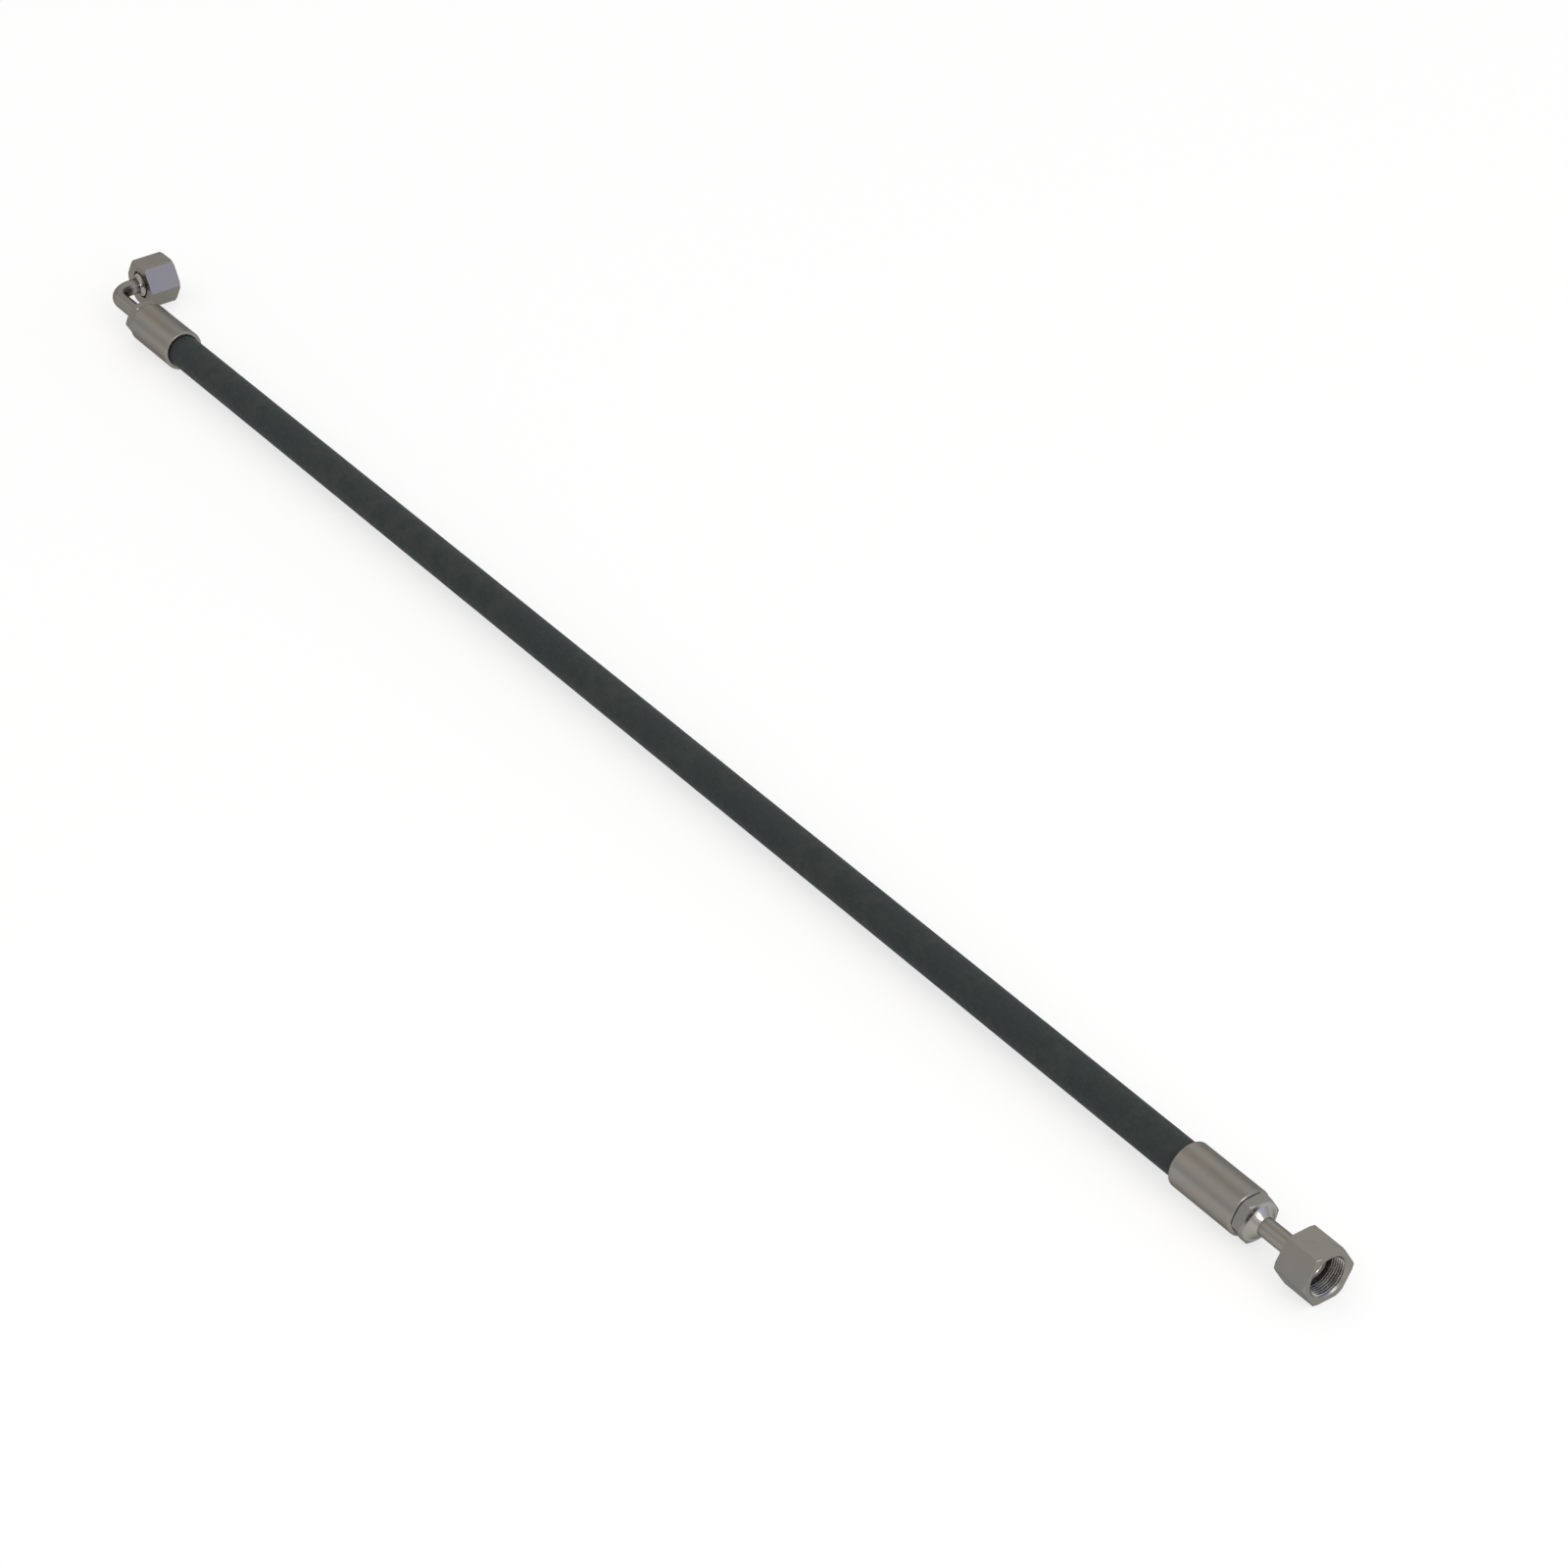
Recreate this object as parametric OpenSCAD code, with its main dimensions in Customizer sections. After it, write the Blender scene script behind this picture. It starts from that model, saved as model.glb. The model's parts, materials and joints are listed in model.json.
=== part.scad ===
// Hydraulic hose assembly: a two-wire braided hose with a crimped fitting at each end.
// One fitting is straight and the other is a swept 90 degree elbow. Both end in a 24 degree
// cone with an O-ring, inside a free-turning swivel nut with an M24 x 1.5 thread.
// The hose runs along X. The straight end opens towards +X, and the elbow towards +Y.
// The origin is on the axis of the straight nut, at the plane where its thread starts.
// Three local frames are used, each with Z along the fitting's axis and outwards:
//   outlet frame:  Z = 0 where the nut's thread starts. Nut, ring, cone head and O-ring.
//   fitting frame: Z = 0 at the rear face of the hose tail's hexagon. Tail and ferrule.

/* [Assembly] */
// Length from the axis of the elbow outlet to the open face of the straight nut
assembly_length = 1240; // [400:10:3000]
// Distance from the hose axis to the open face of the elbow nut
elbow_drop = 43.3; // [43:0.1:60]
// Length from the open face of the straight nut to the front of its hose tail's hexagon
straight_reach = 52.2; // [52:0.1:80]
// Length from the axis of the elbow outlet to the outer face of its hose tail's hexagon
elbow_reach = 41.5; // [41:0.1:60]

/* [Hose] */
// Diameter of the bore of the inner tube
hose_bore_d = 12.7; // [12.6:0.1:12.8]
// Outside diameter of the inner rubber tube
inner_tube_d = 16.2; // [15.8:0.1:16.4]
// Outside diameter of the first wire braid
inner_braid_d = 17.6; // [17.4:0.1:17.8]
// Outside diameter of the rubber layer between the two braids
interlayer_d = 18.2; // [18:0.1:18.4]
// Outside diameter of the second wire braid
outer_braid_d = 19.6; // [19.4:0.1:19.6]
// Outside diameter of the rubber cover
hose_d = 22.2; // [21.8:0.1:22.2]
// Length of cover left on the hose inside each ferrule, past which it is skived off
cover_inset = 12; // [8:1:12]

/* [Ferrule] */
// Outside diameter of the crimped ferrule
ferrule_d = 27.8; // [27:0.1:30]
// Length of the ferrule
ferrule_len = 49; // [49:0.5:60]
// Radius of the rounded edge next to the hexagon
ferrule_front_round = 2.2; // [1:0.1:2.5]
// Radius of the rounded edge next to the open hose
ferrule_rear_round = 1.6; // [0.5:0.1:2]
// Number of teeth that bite into the outer braid
tooth_count = 6; // [3:1:6]

/* [Hose tail] */
// Size of the hexagon across its flats
tail_hex_af = 24; // [22:0.5:27]
// Length of the hexagon along the axis
tail_hex_len = 7; // [6.5:0.5:12]
// Diameter at which the chamfer starts on the hexagon's outer face
tail_hex_face_d = 23.6; // [21:0.1:24]
// Diameter at which the chamfer starts on the hexagon's face towards the ferrule
tail_hex_back_d = 23.9; // [21:0.1:24]
// Outside diameter of the grooved tail inside the hose
tail_d = 12.6; // [12:0.1:12.6]
// Flow bore of the tail
tail_bore_d = 9; // [8:0.1:9.5]
// Length of the tail inside the hose
tail_grip_len = 38; // [30:1:42]

/* [Tubes] */
// Outside diameter of the straight stem
stem_d = 10.8; // [10:0.1:11]
// Outside diameter of the swept elbow tube
elbow_tube_d = 10.5; // [10:0.1:11]
// Flow bore of both tubes and cone heads
flow_bore_d = 8; // [6:0.1:8.2]
// Radius of the elbow tube's bend at its centre line
bend_r = 14; // [12:0.5:15]
// Radius of the tight curve where the root flare rises from the hexagon's face
root_foot_r = 4; // [3:0.5:5]
// Angle up to which that tight curve goes
root_foot_angle = 36; // [30:1:40]
// Radius of the long sweep from there to the tube
root_flare_r = 25; // [20:1:40]
// Radius of the hollow flare that blends a tube into the back of its cone head
neck_flare_r = 2.4; // [1:0.1:2.4]

/* [Swivel nut] */
// Size of the nut across its flats
nut_af = 30; // [29.5:0.5:32]
// Length of the nut
nut_len = 22.5; // [22.5:0.5:26]
// Diameter of the ring left flat on the nut's faces inside the chamfer
nut_face_d = 31.9; // [29:0.1:34]
// Nominal diameter of the thread
thread_d = 24; // [24:1:24]
// Pitch of the thread
thread_pitch = 1.5; // [1.5:0.5:1.5]
// Length of the threaded wall
thread_len = 8.5; // [6:0.5:8.5]
// Diameter of the nut's rear bore
rear_bore_d = 18.6; // [18.4:0.1:19]

/* [Cone head] */
// Diameter of the cylindrical belt behind the cone
head_d = 18; // [17.6:0.1:18]
// Length of the 24 degree cone
cone_len = 6; // [5.5:0.1:6]
// Cross-section diameter of the O-ring
o_ring_section = 2; // [1.6:0.1:2]
// Wire diameter of the thrust ring
thrust_wire_d = 2.4; // [2:0.1:2.4]

/* [Hidden] */
$fn = 96;

// Colours of the real finishes
plated_steel = [0.50, 0.49, 0.46];
flare_steel = [0.56, 0.54, 0.50];
braid_wire = [0.62, 0.58, 0.46];
cover_rubber = [0.16, 0.19, 0.19];
black_rubber = [0.08, 0.08, 0.08];

// Outlet frame: everything is measured back from the start of the thread at Z = 0
minor_r = (thread_d - 1.0825 * thread_pitch) / 2;
mouth_r = thread_d / 2 + 0.5;
mouth_depth = mouth_r - minor_r;
relief_r = thread_d / 2 + 0.15;
nose_z = -thread_len - 0.3;
cone_base_z = nose_z - cone_len;
belt_len = 1.2;
belt_end_z = cone_base_z - belt_len;
cone_half_angle = 12;
nose_r = head_d / 2 - cone_len * tan(cone_half_angle);
collar_r = 7.9;
collar_start_z = belt_end_z - (head_d / 2 - collar_r);
rear_z = mouth_depth - nut_len;
head_end_z = rear_z;
socket_depth = 7.5;
socket_z = head_end_z + socket_depth;
braze_gap = 0.05;
nose_chamfer = 0.4;
groove_width = o_ring_section + 0.2;
groove_z = cone_base_z + 0.7;
groove_r = 7.1;
ring_r = head_d / 2 + 0.4;
wire_r = thrust_wire_d / 2;
ring_play = 0.2;
ring_z = belt_end_z - (wire_r * sqrt(2) - 0.4) - ring_play * 1.25;
ring_gap_angle = 18;

// Places along the assembly
nut_face_x = mouth_depth;
straight_hex_x = nut_face_x - straight_reach - tail_hex_len;
elbow_x = nut_face_x - assembly_length;
elbow_hex_x = elbow_x + elbow_reach + tail_hex_len;
elbow_outlet_y = elbow_drop - mouth_depth;

// Fitting frame: the hose is cut off square inside each ferrule
hose_gap = 5.6;
lip_len = 3;
lip_r = 7.9;
lip_play = 0.1;
ridge_r = 8.6;
teeth_start = 8;
tooth_pitch = 4.5;
tooth_gap = 1.5;
tail_socket_depth = 5;
barb_pitch = 3.8;
barb_depth = 0.5;
barb_count = floor((tail_grip_len - 4) / barb_pitch);
cut_start_x = elbow_hex_x + hose_gap;
cut_end_x = straight_hex_x - hose_gap;

// Points of an arc in a profile, from angle a0 to a1 in degrees
function arc(cx, cy, r, a0, a1, n = 8) =
    [for (i = [0:n]) let (a = a0 + (a1 - a0) * i / n) [cx + r * cos(a), cy + r * sin(a)]];

// Turns a child's Z axis to +X, with its X axis along Y
module facing_plus_x(x) {
    translate([x, 0, 0]) rotate([0, 90, 0]) rotate([0, 0, 90]) children();
}

// Turns a child's Z axis to -X, with its X axis along Y
module facing_minus_x(x) {
    translate([x, 0, 0]) rotate([0, -90, 0]) rotate([0, 0, 90]) children();
}

// Puts a child at the elbow outlet, with its Z axis along +Y
module at_elbow_outlet() {
    translate([elbow_x, elbow_outlet_y, 0]) rotate([-90, 0, 0]) children();
}

// Hexagon bar from z0 to z1 with a 30 degree chamfer turned on both ends
module chamfered_hex(af, back_d, face_d, z0, z1) {
    corner_r = af / 2 / cos(30);
    outer_r = corner_r + 1;
    back_fall = (outer_r - back_d / 2) * tan(30);
    face_fall = (outer_r - face_d / 2) * tan(30);
    intersection() {
        translate([0, 0, z0]) cylinder(r = corner_r, h = z1 - z0, $fn = 6);
        rotate_extrude() polygon([
            [0, z0], [back_d / 2, z0], [outer_r, z0 + back_fall],
            [outer_r, z1 - face_fall], [face_d / 2, z1], [0, z1]
        ]);
    }
}

// One layer of the hose between two cut ends on the X axis
module hose_layer(inner_d, outer_d, x0, x1) {
    translate([x0, 0, 0]) rotate([0, 90, 0]) difference() {
        cylinder(d = outer_d, h = x1 - x0);
        translate([0, 0, -1]) cylinder(d = inner_d, h = x1 - x0 + 2);
    }
}

// Crimped ferrule: a lip that locks in the tail's groove, teeth, and a pocket for the cover
module ferrule() {
    r = ferrule_d / 2;
    braid_r = outer_braid_d / 2;
    cover_r = hose_d / 2 + 0.05;
    pocket = ferrule_len - cover_inset - 0.4;
    mouth_round = 0.8;
    rotate_extrude() polygon(concat(
        [[lip_r, 0]],
        arc(r - ferrule_front_round, -ferrule_front_round, ferrule_front_round, 90, 0),
        arc(r - ferrule_rear_round, -ferrule_len + ferrule_rear_round, ferrule_rear_round, 0, -90),
        arc(cover_r + mouth_round, -ferrule_len + mouth_round, mouth_round, -90, -180),
        [[cover_r, -pocket], [braid_r + 0.55, -pocket]],
        [for (i = [tooth_count - 1:-1:0]) let (z = -teeth_start - i * tooth_pitch) each [
            [braid_r + 0.55, z - tooth_pitch + tooth_gap], [braid_r + 0.05, z - tooth_pitch + tooth_gap],
            [braid_r + 0.05, z], [braid_r + 0.55, z]
        ]],
        [[braid_r + 0.55, -lip_len], [lip_r, -lip_len]]
    ));
}

// Hose tail: hexagon, locking groove and ridge for the ferrule, and a grooved tail in the hose
module hose_tail(tube_d) {
    r = tail_d / 2;
    tip = -hose_gap - tail_grip_len;
    groove_bottom = lip_r - lip_play;
    difference() {
        union() {
            chamfered_hex(tail_hex_af, tail_hex_back_d, tail_hex_face_d, 0, tail_hex_len);
            rotate_extrude() polygon(concat(
                [[0, 0.5], [groove_bottom, 0.5], [groove_bottom, -lip_len - lip_play]],
                [[ridge_r, -lip_len - lip_play], [ridge_r, -hose_gap + 0.2], [r, -hose_gap + 0.2]],
                [for (i = [0:barb_count - 1]) let (z = -hose_gap - 2 - i * barb_pitch) each [
                    [r, z], [r - barb_depth, z - 0.2], [r, z - barb_pitch + 1]
                ]],
                [[r, tip + 1], [r - 0.8, tip], [0, tip]]
            ));
        }
        translate([0, 0, tip - 1]) cylinder(d = tail_bore_d, h = tail_hex_len - tip + 2);
        translate([0, 0, tail_hex_len - tail_socket_depth])
            cylinder(d = tube_d + 2 * braze_gap, h = tail_socket_depth + 1);
    }
}

// Trumpet-shaped collar: a tight curve up from the hexagon's face, then a long sweep to the tube
module root_flare(tube_d) {
    r = tube_d / 2;
    a = root_foot_angle;
    rim_r = tail_hex_face_d / 2 - 0.1;
    join_r = rim_r - root_foot_r * sin(a);
    join_z = root_foot_r * (1 - cos(a));
    sweep_centre = [join_r + root_flare_r * sin(a), join_z + root_flare_r * cos(a)];
    end_angle = asin((sweep_centre[0] - r) / root_flare_r);
    rotate_extrude() translate([0, tail_hex_len]) polygon(concat(
        [[r, 0]],
        arc(rim_r, root_foot_r, root_foot_r, -90, -90 - a, 8),
        [for (i = [1:8]) let (t = a + (end_angle - a) * i / 8)
            sweep_centre - root_flare_r * [sin(t), cos(t)]]
    ));
}

// Small hollow-curved collar behind the cone head, level with the nut's rear face
module neck_flare(tube_d) {
    r = tube_d / 2;
    f = neck_flare_r;
    rotate_extrude() translate([0, head_end_z])
        polygon(concat([[r, 0]], arc(r + f, -f, f, 180, 90, 12)));
}

// Cone head: 24 degree cone with an O-ring groove, a belt, and a 45 degree shoulder behind it
module cone_head(tube_d) {
    bore_r = flow_bore_d / 2;
    socket_r = tube_d / 2 + braze_gap;
    bore_chamfer = 0.8;
    taper = tan(cone_half_angle);
    rotate_extrude() polygon([
        [bore_r, nose_z - bore_chamfer],
        [bore_r + bore_chamfer, nose_z],
        [nose_r - nose_chamfer, nose_z],
        [nose_r + nose_chamfer * taper, nose_z - nose_chamfer],
        [nose_r + (nose_z - groove_z - groove_width) * taper, groove_z + groove_width],
        [groove_r, groove_z + groove_width],
        [groove_r, groove_z],
        [nose_r + (nose_z - groove_z) * taper, groove_z],
        [head_d / 2, cone_base_z],
        [head_d / 2, belt_end_z],
        [collar_r, collar_start_z],
        [collar_r, head_end_z],
        [socket_r, head_end_z],
        [socket_r, socket_z],
        [bore_r, socket_z]
    ]);
}

// O-ring seated in the cone's groove
module o_ring() {
    r = o_ring_section / 2;
    rotate_extrude() translate([groove_r + r + 0.02, groove_z + groove_width / 2]) circle(r = r, $fn = 32);
}

// Open wire ring that sits in the nut's groove and bears on the head's shoulder
module thrust_ring() {
    rotate([0, 0, 90 + ring_gap_angle / 2])
        rotate_extrude(angle = 360 - ring_gap_angle)
            translate([ring_r, ring_z]) circle(r = wire_r, $fn = 32);
}

// Swivel nut: countersunk mouth, thread at its minor diameter, relief, ring groove, rear bore
module swivel_nut() {
    lip_z = ring_z + wire_r + ring_play;
    groove_end_z = ring_z - wire_r - ring_play;
    ring_groove_r = ring_r + wire_r + ring_play;
    front_lip_r = head_d / 2 + 0.6;
    front_lip_len = 0.95;
    rear_chamfer = 0.5;
    overshoot = 1;
    difference() {
        chamfered_hex(nut_af, nut_face_d, nut_face_d, rear_z, mouth_depth);
        rotate_extrude() polygon([
            [0, mouth_depth + overshoot],
            [mouth_r + overshoot, mouth_depth + overshoot],
            [minor_r, 0],
            [minor_r, -thread_len],
            [relief_r, -thread_len],
            [relief_r, lip_z + front_lip_len],
            [front_lip_r, lip_z + front_lip_len],
            [front_lip_r, lip_z],
            [ring_groove_r, lip_z],
            [ring_groove_r, groove_end_z],
            [rear_bore_d / 2, groove_end_z],
            [rear_bore_d / 2, rear_z + rear_chamfer],
            [rear_bore_d / 2 + rear_chamfer + overshoot, rear_z - overshoot],
            [0, rear_z - overshoot]
        ]);
    }
}

// Straight stem between the sockets of the hexagon and the cone head, drawn along X
module stem_tube() {
    x0 = straight_hex_x + tail_hex_len - tail_socket_depth;
    x1 = socket_z;
    hose_layer(flow_bore_d, stem_d, x0, x1);
}

// Cross-section of the elbow tube
module elbow_section() {
    difference() {
        circle(d = elbow_tube_d);
        circle(d = flow_bore_d);
    }
}

// Elbow tube: a straight leg out of the hexagon, a swept quarter turn and a leg to the head
module swept_tube() {
    inlet_x = elbow_x + elbow_reach + tail_socket_depth;
    leg_x = elbow_x + bend_r;
    outlet_y = elbow_outlet_y + socket_z;
    translate([leg_x, 0, 0]) rotate([0, 90, 0]) linear_extrude(inlet_x - leg_x) elbow_section();
    translate([leg_x, bend_r, 0]) rotate([0, 0, 180])
        rotate_extrude(angle = 90) translate([bend_r, 0]) elbow_section();
    translate([elbow_x, bend_r, 0]) rotate([-90, 0, 0])
        linear_extrude(outlet_y - bend_r) elbow_section();
}

module hose_inner_tube() {
    color(black_rubber) hose_layer(hose_bore_d, inner_tube_d, cut_start_x, cut_end_x);
}

module inner_wire_braid() {
    color(braid_wire) hose_layer(inner_tube_d, inner_braid_d, cut_start_x, cut_end_x);
}

module hose_interlayer() {
    color(black_rubber) hose_layer(inner_braid_d, interlayer_d, cut_start_x, cut_end_x);
}

module outer_wire_braid() {
    color(braid_wire) hose_layer(interlayer_d, outer_braid_d, cut_start_x, cut_end_x);
}

module hose_cover() {
    x0 = elbow_hex_x + ferrule_len - cover_inset;
    x1 = straight_hex_x - ferrule_len + cover_inset;
    color(cover_rubber) hose_layer(outer_braid_d, hose_d, x0, x1);
}

module straight_ferrule() {
    color(plated_steel) facing_plus_x(straight_hex_x) ferrule();
}

module straight_hose_tail() {
    color(plated_steel) facing_plus_x(straight_hex_x) hose_tail(stem_d);
}

module straight_root_flare() {
    color(flare_steel) facing_plus_x(straight_hex_x) root_flare(stem_d);
}

module straight_stem_tube() {
    color(plated_steel) stem_tube();
}

module straight_neck_flare() {
    color(flare_steel) facing_plus_x(0) neck_flare(stem_d);
}

module straight_cone_head() {
    color(plated_steel) facing_plus_x(0) cone_head(stem_d);
}

module straight_o_ring() {
    color(black_rubber) facing_plus_x(0) o_ring();
}

module straight_thrust_ring() {
    color(plated_steel) facing_plus_x(0) thrust_ring();
}

module straight_swivel_nut() {
    color(plated_steel) facing_plus_x(0) swivel_nut();
}

module elbow_ferrule() {
    color(plated_steel) facing_minus_x(elbow_hex_x) ferrule();
}

module elbow_hose_tail() {
    color(plated_steel) facing_minus_x(elbow_hex_x) hose_tail(elbow_tube_d);
}

module elbow_root_flare() {
    color(flare_steel) facing_minus_x(elbow_hex_x) root_flare(elbow_tube_d);
}

module elbow_swept_tube() {
    color(plated_steel) swept_tube();
}

module elbow_neck_flare() {
    color(flare_steel) at_elbow_outlet() neck_flare(elbow_tube_d);
}

module elbow_cone_head() {
    color(plated_steel) at_elbow_outlet() cone_head(elbow_tube_d);
}

module elbow_o_ring() {
    color(black_rubber) at_elbow_outlet() o_ring();
}

module elbow_thrust_ring() {
    color(plated_steel) at_elbow_outlet() thrust_ring();
}

module elbow_swivel_nut() {
    color(plated_steel) at_elbow_outlet() swivel_nut();
}

hose_inner_tube();
inner_wire_braid();
hose_interlayer();
outer_wire_braid();
hose_cover();
straight_ferrule();
straight_hose_tail();
straight_root_flare();
straight_stem_tube();
straight_neck_flare();
straight_cone_head();
straight_o_ring();
straight_thrust_ring();
straight_swivel_nut();
elbow_ferrule();
elbow_hose_tail();
elbow_root_flare();
elbow_swept_tube();
elbow_neck_flare();
elbow_cone_head();
elbow_o_ring();
elbow_thrust_ring();
elbow_swivel_nut();
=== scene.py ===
# %% [markdown]
# # A hydraulic hose assembly, with a straight and an elbow swivel end
# This lesson dresses an engineering frame of a two-wire hydraulic hose. The frame gives every
# solid its place, and the lesson adds what makes the parts look real: rolled edges, a cut
# thread inside each nut, swept collars, plated steel and a wrapped rubber cover.
# Each step says what the part is, how it might be made in Blender, and why one way was chosen.

# %% Load the frame
import bpy
import json
from math import asin, cos, pi, radians, sin, tan
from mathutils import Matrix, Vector


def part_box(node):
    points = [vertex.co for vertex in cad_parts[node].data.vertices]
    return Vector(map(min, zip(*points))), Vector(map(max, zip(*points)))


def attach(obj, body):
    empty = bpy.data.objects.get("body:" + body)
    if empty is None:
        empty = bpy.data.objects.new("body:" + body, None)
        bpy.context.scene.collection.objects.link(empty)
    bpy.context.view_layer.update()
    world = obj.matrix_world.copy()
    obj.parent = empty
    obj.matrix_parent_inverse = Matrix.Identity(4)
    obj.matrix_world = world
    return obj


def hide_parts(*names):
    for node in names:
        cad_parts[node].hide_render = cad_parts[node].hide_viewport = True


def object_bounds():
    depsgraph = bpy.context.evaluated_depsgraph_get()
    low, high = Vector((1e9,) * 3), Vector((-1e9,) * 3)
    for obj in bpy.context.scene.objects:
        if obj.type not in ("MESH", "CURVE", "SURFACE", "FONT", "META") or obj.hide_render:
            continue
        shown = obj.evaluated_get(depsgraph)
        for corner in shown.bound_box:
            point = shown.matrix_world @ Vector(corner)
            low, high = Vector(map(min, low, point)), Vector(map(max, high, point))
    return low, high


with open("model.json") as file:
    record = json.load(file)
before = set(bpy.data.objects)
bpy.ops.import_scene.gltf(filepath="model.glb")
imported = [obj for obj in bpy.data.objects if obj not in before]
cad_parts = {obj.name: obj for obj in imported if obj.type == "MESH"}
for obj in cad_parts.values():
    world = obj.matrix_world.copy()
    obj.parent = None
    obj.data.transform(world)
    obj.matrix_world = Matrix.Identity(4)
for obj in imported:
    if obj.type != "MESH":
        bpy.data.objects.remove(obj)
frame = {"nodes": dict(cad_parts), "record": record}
cad_low, cad_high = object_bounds()
record = frame["record"]
print("box of the frame, in mm:", [round(v * 1000, 2) for v in (*cad_low, *cad_high)])

# %% [markdown]
# ## Measures
# Several pieces of a fitting share a size, so each shared size is written once, in millimetres,
# and it is scaled to metres where a point is placed. Sizes near an outlet are measured from the
# start of its thread, and sizes near a hexagon from the hexagon's rear face. The places of the
# outlets come from the mounts in the record, and those of the hexagons from the CAD nodes' boxes.

# %% Measures and places
MM = 0.001
STEM_RADIUS = 5.4
ELBOW_RADIUS = 5.25
TUBE_BORE = 4.0
TAIL_HEX_LENGTH = 7.0
SOCKET_FLOOR = 2.0
SOCKET_PLAY = 0.05
TUBE_END = -13.688
HEAD_BACK = -21.188
COLLAR_SINK = 0.1
mounts = {m["name"]: Vector(m["pos_m"]) for m in record["mounts"]}
straight_outlet = mounts["straight_swivel_thread"]
elbow_outlet = mounts["elbow_swivel_thread"]
straight_hex_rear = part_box("straight_ferrule")[1].x
elbow_hex_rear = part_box("elbow_ferrule")[0].x
cover_low, cover_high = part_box("hose_cover")
print("outlets at", straight_outlet, elbow_outlet)

# %% [markdown]
# ## The camera
# A product picture of something over a metre long is taken from well back with a long lens,
# so the near end isn't much larger than the far end. The camera is set by the point it looks
# at, its distance, and its two angles, because those four numbers are easy to read and change.

# %% The camera
look_at = Vector((-0.5010, 0.0303, 0.0))
camera_distance = 2.536
camera_heading = radians(54.048)
camera_height = radians(35.264)

view_line = Vector((
    -cos(camera_height) * sin(camera_heading),
    cos(camera_height) * cos(camera_heading),
    -sin(camera_height),
))
lens = bpy.data.cameras.new("product_camera")
lens.sensor_width = 36.0
lens.lens = 101.3
camera = bpy.data.objects.new("product_camera", lens)
bpy.context.scene.collection.objects.link(camera)
camera.location = look_at - view_line * camera_distance
camera.rotation_euler = view_line.to_track_quat("-Z", "Y").to_euler()
bpy.context.scene.camera = camera
print("camera at", [round(v, 4) for v in camera.location])

# %% [markdown]
# ## A lathe for the turned parts
# Nearly every piece of a hose fitting is turned. In Blender a turned part can be a stack of
# cylinders, a bevelled curve, or an outline that is spun. The outline is chosen, because it is
# what a turner's drawing shows: a single point is extruded from corner to corner, the last
# corner is joined to the first, and the loop is spun about the axis.
# Outlines are lists of (distance along X, radius), so each piece is made facing +X.

# %% Helpers for drawing and turning
def pick_only(*pieces):
    if bpy.context.object and bpy.context.object.mode == "EDIT":
        bpy.ops.object.mode_set(mode="OBJECT")
    bpy.ops.object.select_all(action="DESELECT")
    for piece in pieces:
        piece.select_set(True)
        bpy.context.view_layer.objects.active = piece


def name_piece(name):
    piece = bpy.context.object
    piece.name = name
    piece.data.name = name
    return piece


def corner_arc(centre_x, centre_r, radius, start, stop, steps=8):
    """Points of a rounded corner in an outline, with angles in degrees from +X towards +R."""
    turns = [radians(start + (stop - start) * i / steps) for i in range(steps + 1)]
    return [(centre_x + radius * cos(t), centre_r + radius * sin(t)) for t in turns]


def draw_outline(name, outline):
    """A closed loop of edges in the XZ plane, drawn by extruding one point."""
    corners = [Vector((x, 0, r)) * MM for x, r in outline]
    pick_only()
    bpy.ops.mesh.primitive_plane_add(size=MM)
    piece = name_piece(name)
    bpy.ops.object.mode_set(mode="EDIT")
    bpy.ops.mesh.select_mode(type="VERT")
    bpy.ops.mesh.select_all(action="SELECT")
    bpy.ops.mesh.merge(type="CENTER")
    bpy.ops.transform.translate(value=corners[0])
    for here, there in zip(corners, corners[1:]):
        bpy.ops.mesh.extrude_vertices_move(TRANSFORM_OT_translate={"value": there - here})
    bpy.ops.object.mode_set(mode="OBJECT")
    # Points aren't numbered in the order they were drawn, so the two loose ends are found as
    # the points that have a single edge.
    edges_at = [0] * len(piece.data.vertices)
    for edge in piece.data.edges:
        for point in edge.vertices:
            edges_at[point] += 1
    for vertex in piece.data.vertices:
        vertex.select = edges_at[vertex.index] == 1
    bpy.ops.object.mode_set(mode="EDIT")
    bpy.ops.mesh.edge_face_add()
    return piece


def spin_outline(piece, steps):
    """Turns the loop once about the X axis into a closed ring of faces that point outwards."""
    bpy.ops.mesh.select_all(action="SELECT")
    bpy.ops.mesh.spin(steps=steps, angle=2 * pi, center=(0, 0, 0), axis=(1, 0, 0))
    bpy.ops.mesh.select_all(action="SELECT")
    bpy.ops.mesh.remove_doubles(threshold=0.5e-6)
    bpy.ops.mesh.normals_make_consistent(inside=False)
    bpy.ops.object.mode_set(mode="OBJECT")


def turned(name, outline, steps=96):
    piece = draw_outline(name, outline)
    spin_outline(piece, steps)
    return piece


# %% [markdown]
# ## Placing, edges and shading
# A piece is drawn at the origin facing +X, and then it is turned about Z and moved to its
# seat. The move is applied, so the object itself stays at the origin with its place in its mesh.
# Machined steel never has a perfect edge, so a narrow bevel catches the light along each one.
# Only small angles are shaded smooth, because a bevel that is shaded into the flat face beside
# it bends that face's reflections, and a bright flat face then looks like a dented one.

# %% Helpers for finishing a piece
def apply_modifier(piece, kind, **settings):
    pick_only(piece)
    modifier = piece.modifiers.new(kind.title(), kind)
    for setting, value in settings.items():
        setattr(modifier, setting, value)
    bpy.ops.object.modifier_apply(modifier=modifier.name)


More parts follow.
